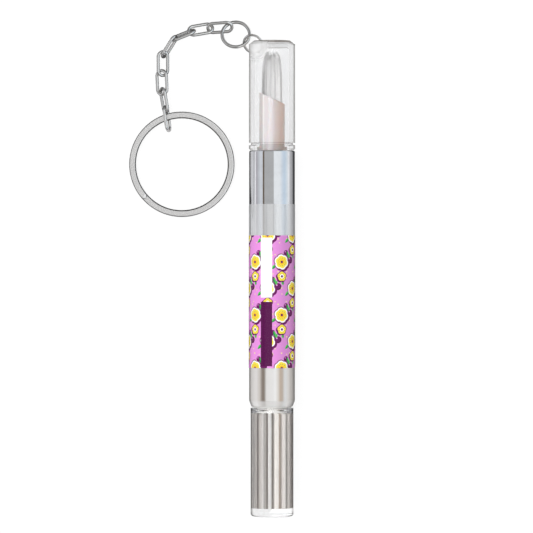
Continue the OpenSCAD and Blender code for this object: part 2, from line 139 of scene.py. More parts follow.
# Strips of the studio as gloss shows them, by the angle from straight up towards +X
STRIPS = (
    (-180, (200, 200, 205)), (-100, (205, 208, 215)), (-90, (186, 184, 190)), (-84, (170, 165, 172)),
    (-76, (182, 184, 188)), (-60, (206, 209, 214)), (-49, (200, 202, 206)), (-46, (92, 78, 64)),
    (-41, (92, 78, 64)), (-38, (172, 172, 172)), (8, (172, 172, 172)), (10, (226, 229, 231)),
    (40, (226, 229, 231)), (54, (204, 214, 224)), (66, (192, 207, 221)), (78, (206, 216, 224)),
    (90, (222, 226, 228)), (104, (190, 190, 190)), (180, (190, 190, 190)),
)
# What clear pieces show of the studio where they throw light back or to the side, and white below
CLEAR_STRIPS = (
    (-180, (255, 255, 255)), (-100, (255, 255, 255)), (-98, (172, 170, 168)), (-80, (160, 158, 156)),
    (-74, (84, 78, 73)), (-30, (92, 86, 80)), (-22, (150, 147, 144)), (-8, (205, 203, 201)),
    (14, (236, 236, 236)), (24, (180, 172, 164)), (52, (168, 152, 138)), (66, (112, 104, 97)),
    (84, (120, 114, 108)), (98, (171, 170, 169)), (100, (255, 255, 255)), (180, (255, 255, 255)),
)


# Nodes

NOISE_LOW, NOISE_HIGH = 0.3, 0.7


class Graph:
    """The nodes of a new material, or of the world, with short calls for them."""

    def __init__(self, name=None, tree=None):
        if tree is None:
            self.mat = bpy.data.materials.new(name)
            self.mat.use_nodes = True
            tree = self.mat.node_tree
        self.tree = tree
        tree.nodes.clear()

    def node(self, kind, inputs=None, **settings):
        """A new node. inputs holds values, or sockets to link, by an input's name or number."""
        made = self.tree.nodes.new("ShaderNode" + kind)
        for key, value in settings.items():
            setattr(made, key, value)
        for key, value in (inputs or {}).items():
            self.put(made.inputs[key], value)
        return made

    def put(self, socket, value):
        if isinstance(value, bpy.types.NodeSocket):
            self.tree.links.new(value, socket)
        else:
            socket.default_value = value

    def out(self, kind, inputs=None, **settings):
        """The first output of a new node."""
        return self.node(kind, inputs, **settings).outputs[0]

    def math(self, operation, *values, clamp=False):
        return self.out("Math", dict(enumerate(values)), operation=operation, use_clamp=clamp)

    def minus(self, a, b):
        return self.math("SUBTRACT", a, b)

    def times(self, a, b):
        return self.math("MULTIPLY", a, b)

    def length(self, x, y):
        """How far the point (x, y) is from the middle."""
        return self.math("SQRT", self.math("ADD", self.times(x, x), self.times(y, y)))

    def between(self, value, low, high, to_low, to_high):
        """The value taken from one range to another, and kept within it."""
        inputs = {"Value": value, "From Min": low, "From Max": high, "To Min": to_low, "To Max": to_high}
        return self.out("MapRange", inputs)

    def past(self, place, edge, width=0.1):
        """0 before an edge and 1 past it. The edge and its width are in mm."""
        return self.between(place, edge * MM, (edge + width) * MM, 0, 1)

    def vary(self, noise, low, high, start=NOISE_LOW, end=NOISE_HIGH):
        """A value that follows a noise from low to high."""
        return self.between(noise, start, end, low, high)

    def mix(self, share, a, b, **settings):
        """A mix of two colours."""
        inputs = {"Factor": share, "A": a, "B": b}
        return self.node("Mix", inputs, data_type="RGBA", **settings).outputs["Result"]

    def blend(self, share, a, b):
        """A mix of two shaders."""
        return self.out("MixShader", {0: share, 1: a, 2: b})

    def ramp(self, value, colours):
        """A colour by value, from rows of (place from 0 to 1, linear colour)."""
        made = self.node("ValToRGB", {0: value})
        elements = made.color_ramp.elements
        while len(elements) > 1:
            elements.remove(elements[-1])
        elements[0].position, elements[0].color = colours[0]
        for place, colour in colours[1:]:
            elements.new(place).color = colour
        return made.outputs[0]

    def place(self):
        """The place on the part, in metres."""
        return self.node("TexCoord").outputs["Object"]

    def xyz(self):
        return self.node("SeparateXYZ", {0: self.place()}).outputs

    def bearing(self):
        """The angle round the pen's axis from straight up towards +X, how far out, and how far along."""
        x, y, z = self.xyz()
        return self.math("ARCTAN2", x, z), self.length(x, z), y

    def noise(self, scale, detail=2.0, roughness=0.5, stretch=(1, 1, 1)):
        """Noise fixed to the part. scale is in waves per metre."""
        sized = self.out("Mapping", {"Vector": self.place(), "Scale": stretch})
        inputs = {"Vector": sized, "Scale": scale, "Detail": detail, "Roughness": roughness}
        return self.out("TexNoise", inputs)

    def bump(self, height, depth):
        """A normal that height tilts. depth is in mm."""
        return self.out("Bump", {"Height": height, "Distance": depth * MM})

    def rays(self, *names):
        """1 for rays of these kinds, and 0 for others."""
        path = self.node("LightPath")
        total = path.outputs[names[0]]
        for name in names[1:]:
            total = self.math("ADD", total, path.outputs[name], clamp=True)
        return total

    def finish(self, surface, **others):
        """The material, with this surface shader."""
        self.node("OutputMaterial", {"Surface": surface, **others})
        return self.mat


# Clear, pearly and satin plastic. Lengths are in mm.

# What lies further out or further along than these is an outer face
SKIN_R, ROOF_Y = 5.1, 125.5
# The painted shade line round the cap's roof
RIM_Y, RIM_IN = 125.35, 4.8
# Layer Weight's facing, where the grazing tint starts and is full
GRAZE_START, GRAZE_END = 0.54, 0.66
# The milky skin over the keychain's hole: its middle in x and y, where it starts to fade, its end and share
MILK_X, MILK_Y, MILK_FULL, MILK_END, MILK_SHARE = -4.3, 124.4, 1.4, 4.2, 0.68
# The pearl has a paler painted reflection below the barrel's shoulder, and the barrel is plated above the end
# of the print
SHOULDER_LOW, SHOULDER_HIGH, SHOULDER_SHARE, PRINT_END = 30.4, 30.9, 0.65, 74.4
PEARL_SHARE, SATIN_SHARE = 0.86, 0.94


def rim_tint(g, out, along, outer):
    """Clear, but grey where an outer face is seen at a grazing view, with a painted shade line round the
    roof.
    """
    facing = g.node("LayerWeight", {"Blend": 0.5}).outputs["Facing"]
    grazing = g.between(facing, GRAZE_START, GRAZE_END, 0, 1)
    tint = g.mix(g.times(grazing, outer), CLEAR, RIM_GREY)
    # Painted shade: a dark line round the roof's edge
    return g.mix(g.times(g.past(along, RIM_Y), g.past(out, RIM_IN)), tint, ROOF_PAINTED_SHADE_LINE)


def hazy(g, low, high):
    """A roughness from low to high that differs from place to place."""
    return g.vary(g.noise(900, 4, 0.6), low, high, 0.35)


def milky(g, glass, wall):
    """The glass with a milky skin over the keychain's hole, on its outer wall."""
    x, y, _ = g.xyz()
    away = g.length(g.minus(x, MILK_X * MM), g.minus(y, MILK_Y * MM))
    share = g.times(g.between(away, MILK_FULL * MM, MILK_END * MM, MILK_SHARE, 0), wall)
    cloud = g.out("BsdfPrincipled", {
        "Base Color": linear(244, 244, 244), "Roughness": hazy(g, 0.3, 0.4), "Coat Weight": 0.5})
    return g.blend(share, glass, cloud)


def clear_glass(g, ior, rough, ripple, rimmed=False, milk=False):
    """Clear moulded plastic with faint flow ripples and a glossy skin, and hazy where rough isn't 0."""
    _, out, along = g.bearing()
    wall = g.past(out, SKIN_R)
    outer = g.math("MAXIMUM", wall, g.past(along, ROOF_Y))
    tint = rim_tint(g, out, along, outer) if rimmed else CLEAR
    flow = g.noise(140, 3, 0.5, (1, 0.25, 1))
    glass = g.out("BsdfPrincipled", {
        "Base Color": tint, "IOR": ior, "Transmission Weight": 1.0,
        "Roughness": hazy(g, rough * 0.6, rough * 1.6) if rough else 0.0,
        "Normal": g.bump(flow, ripple), "Coat Weight": outer, "Coat Roughness": 0.02, "Coat IOR": 1.5})
    if milk:
        glass = milky(g, glass, wall)
    passed = g.out("BsdfTransparent", {"Color": tint})
    return g.blend(g.rays("Is Shadow Ray"), glass, passed)


def clear_plastic(name, ior, loss, milk=False):
    """Clear plastic that takes a share of light, loss, on each metre through it."""
    g = Graph(name)
    depth = g.out("VolumeAbsorption", {"Color": LOST_COLOUR, "Density": loss})
    return g.finish(clear_glass(g, ior, 0.0, 0.0005, True, milk), Volume=depth)


def pearl_plastic():
    """Clear plastic with a silvery pearl in it, which hides most of what is inside, and a plated end.

    The pearl carries painted reflections in soft bands along the barrel, and a paler painted reflection below
    the shoulder.
    """
    g = Graph("clear_barrel")
    glass = clear_glass(g, 1.42, 0.05, 0.003)
    cloud = g.noise(180, 3, 0.5, (1, 0.3, 1))
    angle, _, along = g.bearing()
    # Painted reflections: the pearl's tone follows fixed bands round the barrel
    tone = g.ramp(g.math("MULTIPLY_ADD", angle, 1 / TAU, 0.5), stops(PEARL_PAINTED_REFLECTIONS, 360))
    # Painted reflection: the pearl turns paler below the shoulder
    below = g.between(along, SHOULDER_LOW * MM, SHOULDER_HIGH * MM, SHOULDER_SHARE, 0)
    pearl = g.out("BsdfPrincipled", {
        "Base Color": g.mix(below, tone, SHOULDER_PAINTED_REFLECTION), "Metallic": 0.3,
        "Roughness": g.vary(cloud, 0.13, 0.2), "Coat Weight": 0.6, "Coat Roughness": 0.05})
    plating = g.out("BsdfPrincipled", {
        "Base Color": PLATING, "Metallic": 1.0, "Roughness": g.vary(cloud, 0.02, 0.04)})
    return g.finish(g.blend(g.past(along, PRINT_END), g.blend(PEARL_SHARE, glass, pearl), plating))


def flute_satin():
    """The satin wall of the knob's flutes, with painted reflection bands and painted shade in the creases
    between them.
    """
    g = Graph("flute_satin")
    mottle = g.noise(300, 3, 0.5, (1, 0.08, 1))
    angle, _, _ = g.bearing()
    half_turn = g.math("FRACT", g.math("MULTIPLY_ADD", angle, 2 / TAU, 0.5))
    # Painted reflections and painted crease shade, by the angle round the knob
    satin = g.out("BsdfPrincipled", {
        "Base Color": g.ramp(half_turn, stops(FLUTE_PAINTED_REFLECTIONS_AND_SHADE, 180)), "Metallic": 0.2,
        "Roughness": g.vary(mottle, 0.4, 0.5)})
    return g.finish(g.blend(SATIN_SHARE, g.out("BsdfTransparent"), satin))


# Moulded plastic, rubber and plating. Lengths are in mm.

# The nozzle has painted shade at its foot, from FOOT_LOW to FOOT_HIGH, where it meets the collar
NOZZLE_R, FOOT_LOW, FOOT_HIGH, FOOT_SHARE = 3.4, 98.1, 98.9, 0.42


def nozzle_tone(g, mottle):
    """The nozzle's tint with painted shading and a painted highlight line across it, and painted shade at its
    foot.
    """
    x, y, _ = g.xyz()
    # The nozzle's tint, with painted shading across it and a painted highlight line
    tone = g.ramp(g.between(x, -NOZZLE_R * MM, NOZZLE_R * MM, 0, 1), NOZZLE_TINTS_AND_PAINTED_LIGHT)
    # Painted shade at the nozzle's foot
    tone = g.mix(g.between(y, FOOT_LOW * MM, FOOT_HIGH * MM, FOOT_SHARE, 0), tone, FOOT_SHADE)
    return g.mix(g.vary(mottle, 0, 0.03), tone, MID_GREY)


def moulded(name, rough, colour=None, under=0.0, coat=0.0):
    """Opaque or milky moulded plastic with a faint mottle and a fine skin.

    With no colour given, it has the nozzle's tones, with their painted shade and highlight.
    """
    g = Graph(name)
    mottle = g.noise(220, 4, 0.55)
    if colour:
        tone = g.mix(g.vary(mottle, 0, 1), scaled(colour, 0.96), colour)
    else:
        tone = nozzle_tone(g, mottle)
    return g.finish(g.out("BsdfPrincipled", {
        "Base Color": tone, "Roughness": g.vary(mottle, rough * 0.85, rough * 1.2),
        "Normal": g.bump(g.noise(5200, 2, 0.5), 0.004), "Subsurface Weight": under,
        "Subsurface Scale": 1.2 * MM, "Coat Weight": coat}))


def plated(name, colour, rough, scratch=0.002, stretch=(1, 1, 1), edge=DARK_EDGE, metal=1.0):
    """Bright plating with fine rubbed lines, and smudges that dull it in places.

    edge tints it at a grazing view.
    """
    g = Graph(name)
    rub = g.noise(2600, 3, 0.6, stretch)
    smudge = g.noise(260, 4, 0.6)
    return g.finish(g.out("BsdfPrincipled", {
        "Base Color": g.mix(g.vary(smudge, 0, 1, 0.35, 0.75), colour, scaled(colour, 0.9)), "Metallic": metal,
        "Roughness": g.vary(smudge, rough * 0.7, rough * 1.7, 0.3, 0.75), "Normal": g.bump(rub, scratch),
        "Specular Tint": edge}))


# Bristles. Lengths are in mm.

SLICE_START, SLICE_LEN, BRUSH_TOP = 104.0, 1.0, 123.6
# Painted shade darkens the side towards -X, and painted light makes the tips lighter: where each starts and
# ends, and its share
DARK_SIDE, LIT_SIDE, SIDE_SHARE = -2.8, -0.2, 0.6
TIP_START, TIP_END, TIP_SHARE = 117.0, 122.8, 0.6
# How much of a strand's grey is its own, and how much its lock's
OWN_SHARE, LOCK_SHARE = 0.3, 0.7


def bristle_material():
    """Nylon filament: each strand and each lock has its own grey, and a soft glow, with painted shade on its
    -X side and painted light at its tips.
    """
    g = Graph("bristles")
    own = g.node("NewGeometry").outputs["Random Per Island"]
    lock = g.node("Attribute", attribute_name="lock").outputs["Fac"]
    shade = g.math("MULTIPLY_ADD", own, OWN_SHARE, g.times(lock, LOCK_SHARE))
    tone = g.ramp(shade, ((0.0, linear(158, 157, 158)), (0.35, linear(226, 225, 226)), (0.62, BRIGHT)))
    x, y, _ = g.xyz()
    # Painted shade on the -X side
    tone = g.mix(g.between(x, DARK_SIDE * MM, LIT_SIDE * MM, SIDE_SHARE, 0), tone, linear(136, 135, 136))
    # Painted light at the tips
    tone = g.mix(g.between(y, TIP_START * MM, TIP_END * MM, 0, TIP_SHARE), tone, BRIGHT)
    return g.finish(g.out("BsdfPrincipled", {
        "Base Color": tone, "Roughness": g.between(own, 0, 1, 0.35, 0.5), "Subsurface Weight": 0.6,
        "Subsurface Radius": (1, 1, 1), "Subsurface Scale": 0.6 * MM}))


# Printed film: lengths are in mm, across from its line straight up towards +X, and along the pen

# What lies further out than FROST_R is the film's outer face
FILM_R, FROST_R, FROST_STEP = 6.15, 6.125, 0.002
GIRTH = TAU * FILM_R
SOFT_EDGE, LOBE_POWER = 0.05, 0.7
# The ground turns to a painted shade on its +X side between these angles, in radians from straight up towards
# +X
SHADE_FROM, SHADE_TO = -0.1, 0.5
# Each row of dots: where its repeat starts, the repeat's width and height, and the dots' radius
DOTS = (
    ((0.4, 39.9), (GIRTH / 12, 3.1), 0.16),
    ((1.3, 41.2), (GIRTH / 15, 4.3), 0.2),
    ((2.2, 40.4), (GIRTH / 10, 5.3), 0.15),
)
PITCH, DOT_STAGGER, STAGGER = (GIRTH / 5, 7.0), 0.37, 0.5
# Berries: where the repeat starts, and the radius. Each one's discs: offset and radius as shares, and colour
BERRIES = (((1.6, 36.4), 0.95), ((0.1, 38.3), 0.72))
BERRY_DISCS = ((0, 0, 1.0, PLUM_DEEP), (-0.14, 0.16, 0.8, PLUM), (-0.36, 0.4, 0.22, ORCHID))
# Blossoms: a leaf has its place, its turn, and its length and width. A layer has its share of the petals'
# reach, how lobed it is, and its colour.
BLOSSOMS = (
    {
        "start": (-1.2, 35.9), "petals": 6, "turn": 0.3, "radius": 2.25,
        "shadow": (0.32, -0.28), "shadow_radius": 2.3,
        "leaves": (
            ((2.1, 1.3), 0.9, (1.9, 0.8)), ((1.9, 2.0), 1.9, (1.7, 0.75)), ((-2.2, -1.3), 3.9, (1.9, 0.8))),
        "layers": (
            (1.0, 0.12, PLUM), (0.9, 0.12, WHITE), (0.74, 0.1, YELLOW), (0.34, 0.02, AMBER),
            (0.15, 0.0, PLUM)),
        "stamens": 12, "stamen_ring": 1.05, "stamen_radius": 0.11,
    },
    {
        "start": (2.7, 39.1), "petals": 5, "turn": 0.9, "radius": 1.45,
        "shadow": (-0.25, -0.22), "shadow_radius": 1.45,
        "leaves": (((0.2, -1.6), 4.9, (1.6, 0.75)),),
        "layers": ((1.0, 0.15, PLUM), (0.86, 0.14, YELLOW), (0.4, 0.04, WHITE), (0.22, 0.0, PLUM)),
        "stamens": 10, "stamen_ring": 0.82, "stamen_radius": 0.08,
    },
)
PLATE_LEFT, PLATE_RIGHT = -3.1, 0.03
PLATES = ((58.0, 73.8, WHITE), (39.9, 56.9, PLUM_DEEP))


def inside(g, value, limit, soft=SOFT_EDGE):
    """1 where value is under limit, with an edge as wide as soft."""
    return g.math("MULTIPLY_ADD", g.minus(limit, value), 1 / soft, 0.5, clamp=True)


def band(g, value, low, high):
    """1 where value is from low to high."""
    off = g.math("ABSOLUTE", g.minus(value, (low + high) / 2))
    return inside(g, off, (high - low) / 2)


def repeat(g, across, along, pitch, start, stagger):
    """The place within a repeat, from its middle.

    Every other row is shifted by a share of the pitch, stagger.
    """
    row = g.math("DIVIDE", g.minus(along, start[1]), pitch[1])
    shift = g.times(g.math("PINGPONG", g.math("FLOOR", row), 1.0), stagger * pitch[0])
    column = g.math("DIVIDE", g.math("ADD", g.minus(across, start[0]), shift), pitch[0])
    x = g.times(g.minus(g.math("FRACT", column), 0.5), pitch[0])
    y = g.times(g.minus(g.math("FRACT", row), 0.5), pitch[1])
    return x, y


def disc(g, colour, x, y, radius, paint):
    """Paints a disc round the point where x and y are 0."""
    return g.mix(inside(g, g.length(x, y), radius), colour, paint)


def berry(g, colour, x, y, radius):
    """Paints a round dark berry with a lighter crescent and a small glint."""
    for dx, dy, share, paint in BERRY_DISCS:
        colour = disc(g, colour, g.minus(x, dx * radius), g.minus(y, dy * radius), share * radius, paint)
    return colour


def leaf(g, colour, x, y, place, turn, size):
    """Paints a pointed leaf with a darker half."""
    length, width = size
    c, s = math.cos(turn), math.sin(turn)
    dx, dy = g.minus(x, place[0]), g.minus(y, place[1])
    u = g.math("ADD", g.times(dx, c), g.times(dy, s))
    v = g.minus(g.times(dy, c), g.times(dx, s))
    end = g.math("POWER", g.math("DIVIDE", u, length / 2), 2.0)
    reach = g.math("ADD", g.math("DIVIDE", g.math("ABSOLUTE", v), width / 2), end)
    tone = g.mix(inside(g, v, 0.0), GREEN_DEEP, GREEN)
    return g.mix(inside(g, reach, 1.0, SOFT_EDGE / width * 2), colour, tone)


def petals(g, colour, x, y, radius, kind, layers):
    """Paints layers of lobed petals, from the outside in."""
    out = g.length(x, y)
    angle = g.math("ADD", g.math("ARCTAN2", y, x), kind["turn"])
    lobe = g.math("ABSOLUTE", g.math("COSINE", g.times(angle, kind["petals"] / 2)))
    lobe = g.math("POWER", lobe, LOBE_POWER)
    for share, lobed, paint in layers:
        edge = g.math("MULTIPLY_ADD", lobe, lobed * radius, (share - lobed) * radius)
        colour = g.mix(inside(g, g.minus(out, edge), 0.0), colour, paint)
    return colour


def stamens(g, colour, x, y, kind):
    """Paints dots on a ring."""
    sector = TAU / kind["stamens"]
    turned = g.math("FRACT", g.math("DIVIDE", g.math("ARCTAN2", y, x), sector))
    off = g.times(g.minus(turned, 0.5), sector)
    out = g.length(x, y)
    dx = g.minus(g.times(out, g.math("COSINE", off)), kind["stamen_ring"])
    dy = g.times(out, g.math("SINE", off))
    return disc(g, colour, dx, dy, kind["stamen_radius"], PLUM)


def blossom(g, colour, x, y, kind):
    """Paints a blossom with its leaves, its shadow and its stamens."""
    for row in kind["leaves"]:
        colour = leaf(g, colour, x, y, *row)
    dx, dy = kind["shadow"]
    shadow = kind["layers"][:1]
    colour = petals(g, colour, g.minus(x, dx), g.minus(y, dy), kind["shadow_radius"], kind, shadow)
    colour = petals(g, colour, x, y, kind["radius"], kind, kind["layers"])
    return stamens(g, colour, x, y, kind)


def print_colour(g, turn, along):
    """The print: dots, berries and blossoms on an orchid ground with painted shade on its +X side, and two
    bare plates.
    """
    across = g.times(turn, FILM_R)
    # Painted shade: the ground is darker on the pen's +X side
    colour = g.mix(g.between(turn, SHADE_FROM, SHADE_TO, 0, 1), ORCHID, ORCHID_SHADE)
    for start, pitch, radius in DOTS:
        x, y = repeat(g, across, along, pitch, start, DOT_STAGGER)
        colour = disc(g, colour, x, y, radius, SPECK)
    for start, radius in BERRIES:
        x, y = repeat(g, across, along, PITCH, start, STAGGER)
        colour = berry(g, colour, x, y, radius)
    for kind in BLOSSOMS:
        x, y = repeat(g, across, along, PITCH, kind["start"], STAGGER)
        colour = blossom(g, colour, x, y, kind)
    for low, high, paint in PLATES:
        share = g.times(band(g, across, PLATE_LEFT, PLATE_RIGHT), band(g, along, low, high))
        colour = g.mix(share, colour, paint)
    return colour


def printed_film():
    """The film round the barrel: a print of the part's own, and a frosted margin over the collar."""
    g = Graph("printed_film")
    turn, out, y = g.bearing()
    along = g.times(y, 1 / MM)
    grain = g.noise(4200, 3, 0.6)
    wave = g.bump(g.noise(160, 2, 0.5, (1, 0.4, 1)), 0.01)
    inked = g.mix(1.0, print_colour(g, turn, along), g.vary(grain, 0.96, 1.01), blend_type="MULTIPLY")
    print_side = g.out("BsdfPrincipled", {
        "Base Color": inked, "Roughness": g.vary(grain, 0.2, 0.3), "Normal": wave,
        "Specular IOR Level": 0.25, "Coat Weight": 0.12, "Coat Roughness": 0.12})
    frost = g.out("BsdfPrincipled", {
        "Base Color": linear(232, 233, 234), "Roughness": g.vary(grain, 0.3, 0.42), "Normal": wave})
    # Only the outer face is veiled, and what the chrome below throws back isn't veiled a second time
    skin = g.past(out, FROST_R, FROST_STEP)
    fresh = g.minus(1.0, g.rays("Is Glossy Ray"))
    veil = g.times(g.times(g.vary(grain, 0.37, 0.43), skin), fresh)
    margin = g.blend(veil, g.out("BsdfTransparent"), frost)
    return g.finish(g.blend(inside(g, along, PRINT_END), margin, print_side))


# The keys are written out, because Blender adds a number to a name that the frame's own material has
MATERIALS = {
    "clear_cap": clear_plastic("clear_cap", 1.03, 30.0, milk=True),
    "clear_knob": clear_plastic("clear_knob", 1.42, 8.0),
    "clear_barrel": pearl_plastic(),
    "flute_satin": flute_satin(),
    "nut_plastic": moulded("nut_plastic", 0.3, linear(226, 225, 223)),
    "white_plastic": moulded("white_plastic", 0.35, linear(240, 240, 238)),
    "nozzle_plastic": moulded("nozzle_plastic", 0.22, under=0.2, coat=0.5),
    "seal_rubber": moulded("seal_rubber", 0.6, linear(70, 70, 72)),
    "chrome": plated("chrome", (0.86, 0.87, 0.89, 1), 0.06, 0.0015, (1, 0.02, 1), BRIGHT),
    "steel": plated("steel", (0.72, 0.72, 0.73, 1), 0.22, 0.003, (1, 0.05, 1), BRIGHT),
    "ring_wire": plated("ring_wire", (0.88, 0.87, 0.85, 1), 0.1),
    "link_wire": plated("link_wire", (0.94, 0.93, 0.91, 1), 0.1),
    "split_steel": plated("split_steel", (0.86, 0.855, 0.85, 1), 0.12, metal=0.68),
    # Darker plating for the split ring's corners: painted shade
    "split_outer_painted_shade": plated("split_outer_painted_shade", (0.27, 0.265, 0.26, 1), 0.2),
    "split_inner_painted_shade": plated("split_inner_painted_shade", (0.19, 0.185, 0.18, 1), 0.22),
    "printed_film": printed_film(),
    "bristles": bristle_material(),
}


# Pieces. Lengths are in mm.

def mesh_piece(name, verts, faces, material, body, slot, *nodes):
    """A smooth-shaded piece from points in mm. It rides on body and stands for nodes."""
    mesh = bpy.data.meshes.new(name)
    mesh.from_pydata([(x * MM, y * MM, z * MM) for x, y, z in verts], [], faces)
    mesh.validate()
    mesh.polygons.foreach_set("use_smooth", [True] * len(mesh.polygons))
    piece = bpy.data.objects.new(name, mesh)
    bpy.context.scene.collection.objects.link(piece)
    mesh.materials.append(MATERIALS[material])
    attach(piece, body)
    if nodes:
        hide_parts(*nodes)
    return piece


def circle(radius, y, count):
    """Points round the pen's axis."""
    return [(radius * math.cos(TAU * k / count), y, radius * math.sin(TAU * k / count)) for k in range(count)]


def bridge(low, high, count):
    """Quads between two closed rings of count points."""
    return [(low + k, low + (k + 1) % count, high + (k + 1) % count, high + k) for k in range(count)]


def tube(first, rings, count, ends=True):
    """Faces along a row of rings of count points, from the point numbered first."""
    last = first + (rings - 1) * count
    faces = []
    for low in range(first, last, count):
        faces += bridge(low, low + count, count)
    if ends:
        faces.append(tuple(range(first, first + count)))
        faces.append(tuple(reversed(range(last, last + count))))
    return faces


# Bristles: as in the CAD solid, but finer and more of them, on the same spiral
STRANDS, STRAND_SIDES = 1100, 5
STRAND_RISES = (0.05, 0.3, 0.5, 0.65, 0.77, 0.86, 0.93, 1.0)
ROOT_IN, ROOT_OUT, TIP_OUT = 1.15, 2.74, 1.56
STRAND_THIN, STRAND_THICK, STRAND_TAPER = 0.042, 0.062, 0.62
# How much a strand may be shorter than its lock, how far it wanders, how often it sways, and how late it
# bends inwards
RAGGED, WANDER, SWAY_RATE, BEND_POWER = 0.05, 0.02, 5, 6
SEED = 7
LOCKS, LOCK_SHORT, CLING = 90, 0.86, 0.5
# The spiral's step in degrees
GOLDEN = 137.508
BUSH_R, TUBE_CLEAR, SLICE_SIDES = 2.88, 0.84, 64


def spread(inner, outer, i, count):
    """How far out point i lies, when count points fill the ring from inner to outer evenly."""
    return math.sqrt(inner ** 2 + (outer ** 2 - inner ** 2) * (i + 0.5) / count)


def strand(rng, i, locks):
    """The points of a strand's rings from its root to its tip, and its lock's shade."""
    root, tip = spread(ROOT_IN, ROOT_OUT, i, STRANDS), spread(0, TIP_OUT, i, STRANDS)
    heading = math.radians(i * GOLDEN)

    def away(lock):
        return lock[0] ** 2 + root ** 2 - 2 * lock[0] * root * math.cos(heading - lock[1])

    _, lock_heading, lock_length, shade = min(locks, key=away)
    gather = math.remainder(lock_heading - heading, TAU) * CLING
    longest = lock_length * (1 - RAGGED * rng.random())
    lean, sway, phase = rng.gauss(0, WANDER), rng.gauss(0, WANDER), rng.random() * TAU
    thick = rng.uniform(STRAND_THIN, STRAND_THICK)
    points = []
    for rise in STRAND_RISES:
        up = rise * longest
        out = root + (tip - root) * up ** BEND_POWER + sway * math.sin(phase + SWAY_RATE * up) * up
        angle = heading + gather * up ** 2 + lean * up
        for u, _, v in circle(thick * (1 - STRAND_TAPER * up ** 3), 0, STRAND_SIDES):
            x = (out + u) * math.cos(angle) - v * math.sin(angle)
            z = (out + u) * math.sin(angle) + v * math.cos(angle)
            points.append((x, SLICE_START + (BRUSH_TOP - SLICE_START) * up, z))
    return points, shade


def bristles():
    rng = random.Random(SEED)
    # The strands cling together in locks: how far out, at what angle, how long and how light
    locks = []
    for k in range(LOCKS):
        out = spread(ROOT_IN, ROOT_OUT, k, LOCKS)
        locks.append((out, math.radians(k * GOLDEN), rng.uniform(LOCK_SHORT, 1.0), rng.random()))
    verts, faces, shades = [], [], []
    for i in range(STRANDS):
        points, shade = strand(rng, i, locks)
        faces += tube(len(verts), len(STRAND_RISES), STRAND_SIDES)
        verts += points
        shades += [shade] * len(points)
    # The slice of backing that holds them
    first = len(verts)
    for radius, top in ((BUSH_R, 0), (BUSH_R, SLICE_LEN), (TUBE_CLEAR, SLICE_LEN), (TUBE_CLEAR, 0)):
        verts += circle(radius, SLICE_START + top, SLICE_SIDES)
    faces += tube(first, 4, SLICE_SIDES, ends=False)
    faces += bridge(first + 3 * SLICE_SIDES, first, SLICE_SIDES)
    shades += [0.5] * (len(verts) - len(shades))
    piece = mesh_piece("bristles", verts, faces, "bristles", "pen", "bristles", "brush_tuft")
    piece.data.attributes.new("lock", "FLOAT", "POINT").data.foreach_set("value", shades)


# Screw rod: the CAD rod with its thread cut in, between the two flats
ROD_R, ROD_FLAT, ROD_CHAMFER, ROD_SIDES = 2.1, 1.55, 0.4, 72
THREAD_PITCH, THREAD_DEPTH, THREAD_STEP, THREAD_FADE = 1.6, 0.32, 0.1, 0.6
CREST_SHARE, FLANK_SHARE = 0.35, 0.35
NECK_R, NECK_LEN, BUTTON_R, BUTTON_LEN = 1.25, 1.0, 1.6, 1.2
ROD_CREASE = math.radians(40)


def threaded_rod():
    low, high = (corner[1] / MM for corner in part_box("screw_rod"))
    top = high - NECK_LEN - BUTTON_LEN
    steps = int((top - low) / THREAD_STEP)
    verts = []
    for k in range(steps + 1):
        y = low + (top - low) * k / steps
        depth = THREAD_DEPTH * min(1, min(y - low, top - y) / THREAD_FADE)
        widest = ROD_R - max(0, ROD_CHAMFER - (y - low))
        for j in range(ROD_SIDES):
            a = TAU * j / ROD_SIDES
            wave = abs(((y / THREAD_PITCH - j / ROD_SIDES) % 1) * 2 - 1)
            radius = widest - depth * min(1, max(0, (wave - CREST_SHARE) / FLANK_SHARE))
            across = abs(math.sin(a))
            if across * radius > ROD_FLAT:
                radius = ROD_FLAT / across
            verts.append((radius * math.cos(a), y, radius * math.sin(a)))
    neck_top = top + NECK_LEN
    for y, radius in ((top, NECK_R), (neck_top, NECK_R), (neck_top, BUTTON_R), (high, NECK_R)):
        verts += circle(radius, y, ROD_SIDES)
    faces = tube(0, len(verts) // ROD_SIDES, ROD_SIDES)
    piece = mesh_piece(
        "screw_rod_threads", verts, faces, "white_plastic", "screw_rod", "white_plastic", "screw_rod")
    piece.data.set_sharp_from_angle(angle=ROD_CREASE)


# The satin wall of the knob's flutes, just inside the clear plastic, with a round end to each flute
FLUTES, FLUTE_SIDES, FLUTE_R, FLUTE_PITCH_R, KNOB_BORE_R = 16, 20, 0.62, 4.16, 4.1
FLUTE_LOW, FLUTE_HIGH, FLUTE_END_STEPS, LINING_SINK = 2.2, 27.5, 6, 0.04
FLUTE_RINGS = (FLUTE_LOW, 10, 18)


def flute_lining():
    straight = FLUTE_HIGH - FLUTE_R
    heights = [*FLUTE_RINGS, straight]
    for k in range(1, FLUTE_END_STEPS + 1):
        heights.append(straight + FLUTE_R * math.sin(TAU / 4 * k / FLUTE_END_STEPS))
    around, half = FLUTES * FLUTE_SIDES, TAU / FLUTES / 2
    verts = []
    for y in heights:
        section = max(0, FLUTE_R ** 2 - max(0, y - straight) ** 2)
        for j in range(around):
            a = TAU * j / around
            off = (a + half) % (2 * half) - half
            under = section - (FLUTE_PITCH_R * math.sin(off)) ** 2
            out = FLUTE_PITCH_R * math.cos(off) + math.sqrt(under) if under > 0 else 0
            r = max(KNOB_BORE_R, out) + LINING_SINK
            verts.append((r * math.cos(a), y, r * math.sin(a)))
    faces = tube(0, len(heights), around, ends=False)
    mesh_piece("knob_flute_walls", verts, faces, "flute_satin", "knob", "clear_knob")


